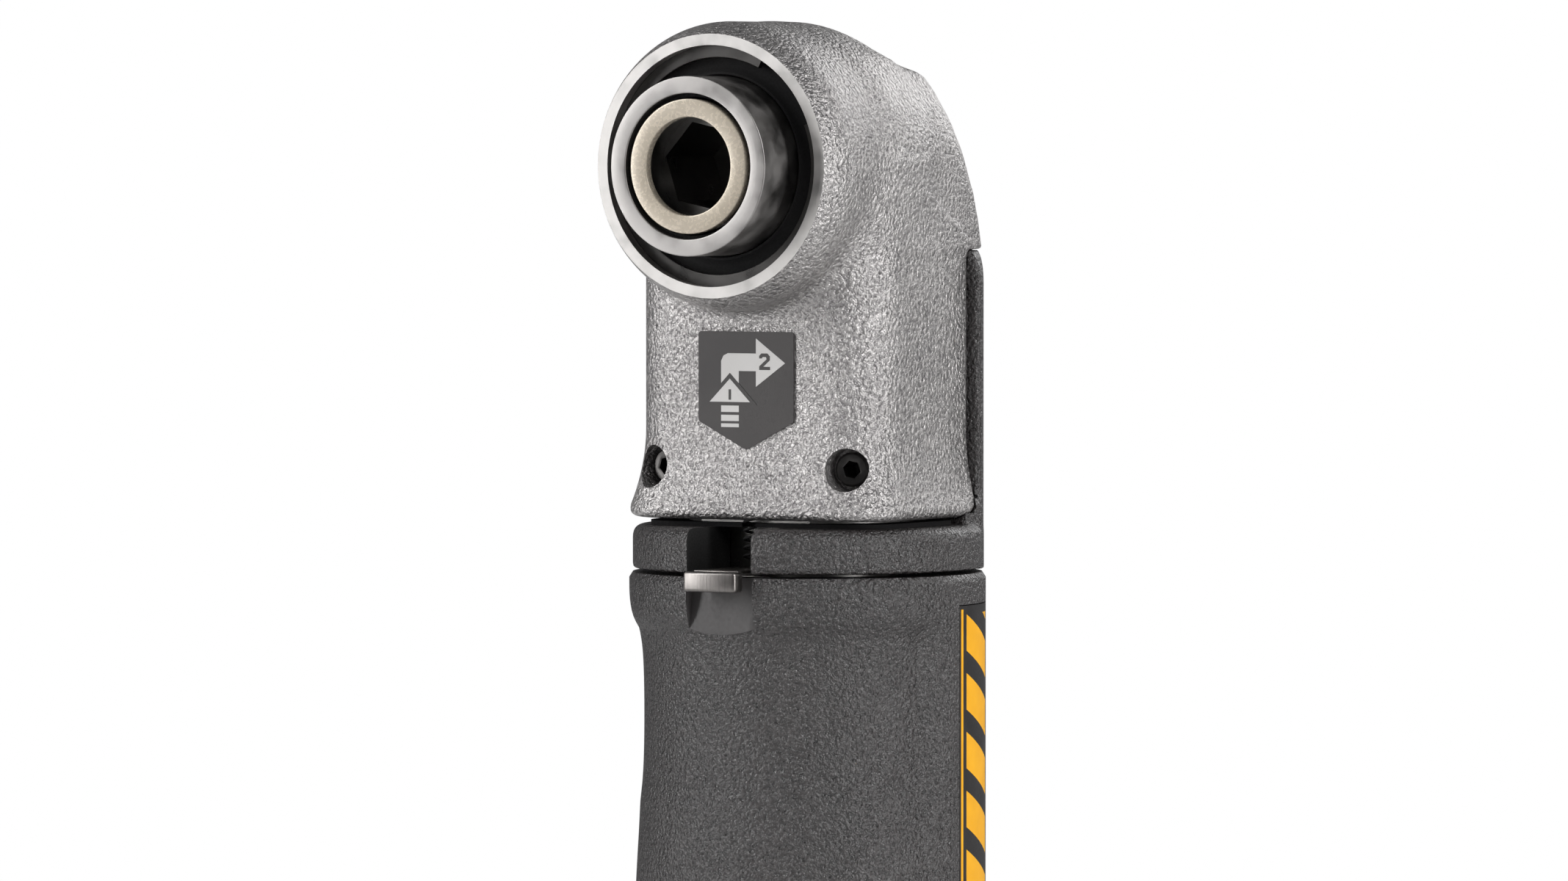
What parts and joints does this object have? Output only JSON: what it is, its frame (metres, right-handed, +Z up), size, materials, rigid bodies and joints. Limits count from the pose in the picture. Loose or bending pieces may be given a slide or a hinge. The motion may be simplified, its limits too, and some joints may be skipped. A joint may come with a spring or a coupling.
{
  "type": "right-angle air ratchet",
  "caption": "Hand-held air ratchet driver with a cast right-angle head, quick-change hexagon spindle, push-up head latch, textured black grip and throttle lever.",
  "frame": {"origin": "centre of the air inlet's mouth, on the handle axis at the tool's base", "axes": "+Z up the handle to the head, -Y out of the nose along the output spindle, +X to the right seen from the nose's side"},
  "size_m": [0.05, 0.0705, 0.2596],
  "materials": {
    "cast_alloy": "satin, orange-peel casting",
    "black_nylon": "spark-eroded texture",
    "seal_rubber": "matt",
    "label_film": "satin film",
    "black_steel": "black oxide",
    "bright_steel": "ground",
    "bearing_steel": "polished",
    "ivory_plate": "champagne plating",
    "machined_alloy": "machined",
    "gear_steel": "hardened",
    "spring_steel": "bright wire",
    "brass_bush": "turned",
    "strip_film": "yellow and black film",
    "felt": "pressed felt",
    "phenolic": "fibre laminate"
  },
  "bodies": {
    "handle": {"handle_shell": "black_nylon", "side_strips": "strip_film", "handle_screws": "black_steel", "lock_ring": "gear_steel", "bearing_plate": "machined_alloy", "carrier_bearing": "bearing_steel", "ring_gear": "gear_steel", "motor_cylinder": "machined_alloy", "front_end_plate": "machined_alloy", "rotor_front_bearing": "bearing_steel", "rear_end_plate": "machined_alloy", "rotor_rear_bearing": "bearing_steel", "valve_body": "machined_alloy", "valve_bush": "brass_bush", "valve_o_ring": "seal_rubber", "valve_spring": "spring_steel", "lever_pin": "bright_steel", "muffler_felt": "felt", "base_cap": "black_nylon", "inlet_bushing": "bright_steel", "inlet_screen": "spring_steel"},
    "head": {"head_housing": "cast_alloy", "head_collar": "black_nylon", "head_gasket": "seal_rubber", "instruction_label": "label_film", "head_screws": "black_steel", "swivel_hub": "machined_alloy", "nose_snap_ring": "black_steel", "nose_seal": "seal_rubber", "front_bearing": "bearing_steel", "rear_bearing": "bearing_steel", "upper_pinion_bearing": "bearing_steel", "lower_pinion_bearing": "bearing_steel", "latch_spring": "spring_steel"},
    "latch": {"latch": "bright_steel"},
    "pinion": {"pinion_shaft": "gear_steel"},
    "bevel_gear": {"bevel_gear": "gear_steel"},
    "spindle": {"drive_spindle": "bright_steel", "spindle_cap": "ivory_plate", "retaining_ball": "bearing_steel", "pawl_pin": "gear_steel", "sleeve_spring": "spring_steel"},
    "sleeve": {"release_sleeve": "bright_steel"},
    "selector": {"selector_knob": "black_nylon", "pawl_plunger": "brass_bush", "plunger_spring": "spring_steel"},
    "pawl": {"pawl": "gear_steel"},
    "carrier": {"planet_carrier": "gear_steel", "planet_pins": "gear_steel"},
    "planet_1": {"planet_gear_1": "gear_steel"},
    "planet_2": {"planet_gear_2": "gear_steel"},
    "planet_3": {"planet_gear_3": "gear_steel"},
    "rotor": {"rotor": "gear_steel", "vanes": "phenolic"},
    "lever": {"throttle_lever": "black_steel"},
    "valve": {"valve_stem": "bright_steel", "valve_seal": "seal_rubber"},
    "regulator": {"air_regulator": "machined_alloy"},
    "deflector": {"exhaust_deflector": "black_nylon"}
  },
  "joints": [
    {"name": "rotor_spin", "type": "hinge", "parent": "handle", "child": "rotor", "pos_m": [0, 0, 0.1], "axis": [0, 0, 1], "continuous": true},
    {"name": "carrier_spin", "type": "hinge", "parent": "handle", "child": "carrier", "pos_m": [0, 0, 0.14], "axis": [0, 0, 1], "continuous": true},
    {"name": "planet_1_spin", "type": "hinge", "parent": "carrier", "child": "planet_1", "pos_m": [0.0081, 0, 0.134], "axis": [0, 0, 1], "continuous": true},
    {"name": "planet_2_spin", "type": "hinge", "parent": "carrier", "child": "planet_2", "pos_m": [-0.00405, 0.00701, 0.134], "axis": [0, 0, 1], "continuous": true},
    {"name": "planet_3_spin", "type": "hinge", "parent": "carrier", "child": "planet_3", "pos_m": [-0.00405, -0.00701, 0.134], "axis": [0, 0, 1], "continuous": true},
    {"name": "head_swivel", "type": "hinge", "parent": "handle", "child": "head", "pos_m": [0, 0, 0.19], "axis": [0, 0, 1], "range_deg": [0, 45]},
    {"name": "latch_push", "type": "slide", "parent": "head", "child": "latch", "axis": [0, 0, 1], "range_m": [0, 0.004], "stiffness_N_per_m": 600, "springref_m": -0.001, "deforming": ["latch_spring"]},
    {"name": "pinion_spin", "type": "hinge", "parent": "head", "child": "pinion", "pos_m": [0, 0, 0.2], "axis": [0, 0, 1], "continuous": true},
    {"name": "gear_spin", "type": "hinge", "parent": "head", "child": "bevel_gear", "pos_m": [0, 0, 0.2396], "axis": [0, 1, 0], "continuous": true},
    {"name": "spindle_spin", "type": "hinge", "parent": "head", "child": "spindle", "pos_m": [0, 0, 0.2396], "axis": [0, 1, 0], "continuous": true},
    {"name": "sleeve_pull", "type": "slide", "parent": "spindle", "child": "sleeve", "axis": [0, -1, 0], "range_m": [0, 0.003], "stiffness_N_per_m": 1500, "springref_m": -0.001, "deforming": ["sleeve_spring"]},
    {"name": "selector_turn", "type": "hinge", "parent": "spindle", "child": "selector", "pos_m": [0, 0, 0.2396], "axis": [0, -1, 0], "range_deg": [0, 60]},
    {"name": "pawl_rock", "type": "hinge", "parent": "spindle", "child": "pawl", "pos_m": [0, -0.0115, 0.2448], "axis": [0, 1, 0], "range_deg": [0, 18]},
    {"name": "throttle_press", "type": "hinge", "parent": "handle", "child": "lever", "pos_m": [0, 0.0285, 0.1], "axis": [-1, 0, 0], "range_deg": [0, 5], "stiffness_Nm_per_rad": 4, "springref_deg": -1.15, "deforming": ["valve_spring"]},
    {"name": "valve_push", "type": "slide", "parent": "handle", "child": "valve", "axis": [0, -1, 0], "range_m": [0, 0.004]},
    {"name": "regulator_turn", "type": "hinge", "parent": "handle", "child": "regulator", "pos_m": [-0.0246, -0.008, 0.066], "axis": [-1, 0, 0], "range_deg": [0, 90]},
    {"name": "deflector_turn", "type": "hinge", "parent": "handle", "child": "deflector", "pos_m": [0, 0, 0.006], "axis": [0, 0, 1], "range_deg": [-170, 170]}
  ],
  "couplings": [
    {"joint": "carrier_spin", "follows": "rotor_spin", "ratio": 0.22222},
    {"joint": "planet_1_spin", "follows": "rotor_spin", "ratio": -0.62222},
    {"joint": "planet_2_spin", "follows": "rotor_spin", "ratio": -0.62222},
    {"joint": "planet_3_spin", "follows": "rotor_spin", "ratio": -0.62222},
    {"joint": "pinion_spin", "follows": "rotor_spin", "ratio": 0.22222},
    {"joint": "gear_spin", "follows": "rotor_spin", "ratio": -0.11111},
    {"joint": "spindle_spin", "follows": "rotor_spin", "ratio": -0.11111},
    {"joint": "pawl_rock", "follows": "selector_turn", "ratio": 0.3},
    {"joint": "valve_push", "follows": "throttle_press", "m_per_rad": 0.044}
  ]
}
